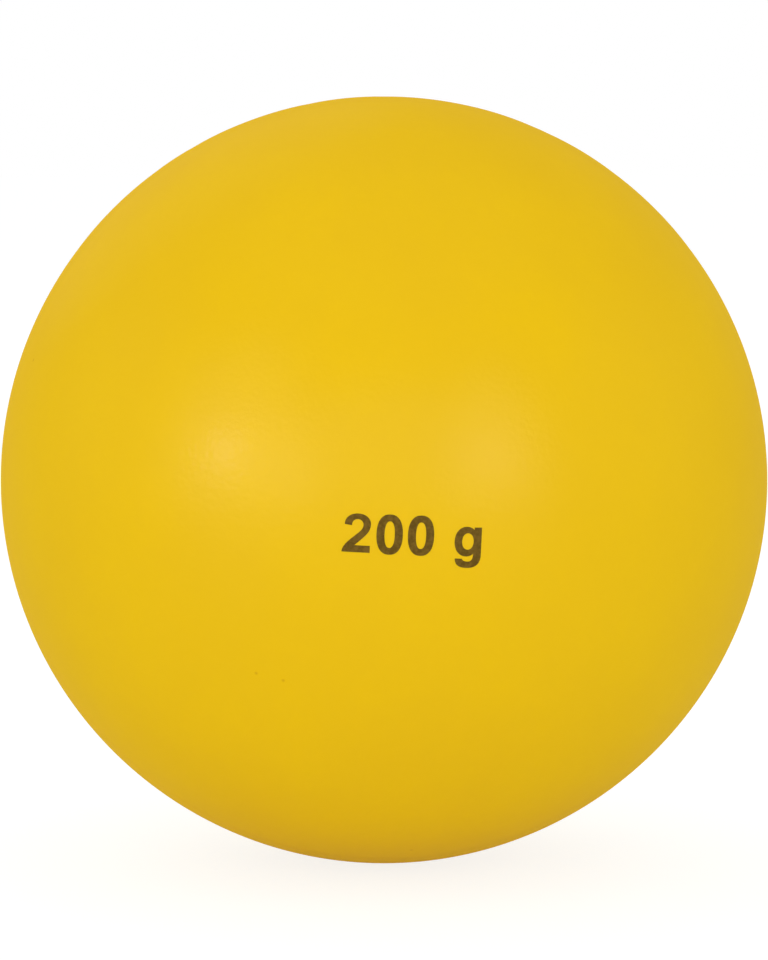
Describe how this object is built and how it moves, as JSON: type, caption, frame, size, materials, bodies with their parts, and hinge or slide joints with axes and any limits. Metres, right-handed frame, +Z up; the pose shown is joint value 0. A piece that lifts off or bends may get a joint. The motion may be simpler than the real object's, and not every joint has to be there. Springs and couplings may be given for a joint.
{
  "type": "soft weighted throwing ball",
  "caption": "Hand-sized soft moulded ball with loose sand inside and a plugged filling port, for shot put and throwing practice.",
  "frame": {"origin": "centre of the ball", "axes": "+Z up, +Y out of the filling port at the back, -Y towards the side that carries the weight mark"},
  "size_m": [0.08, 0.0798, 0.08],
  "materials": {
    "yellow_pvc": "satin",
    "stopper_pvc": "satin",
    "dry_sand": "matte"
  },
  "bodies": {
    "ball": {"ball_shell": "yellow_pvc", "filler_plug": "stopper_pvc"},
    "ballast": {"sand_fill": "dry_sand"}
  },
  "joints": [
    {"name": "fill_roll", "type": "hinge", "parent": "ball", "child": "ballast", "pos_m": [0, 0, 0], "axis": [0, 1, 0], "continuous": true}
  ]
}
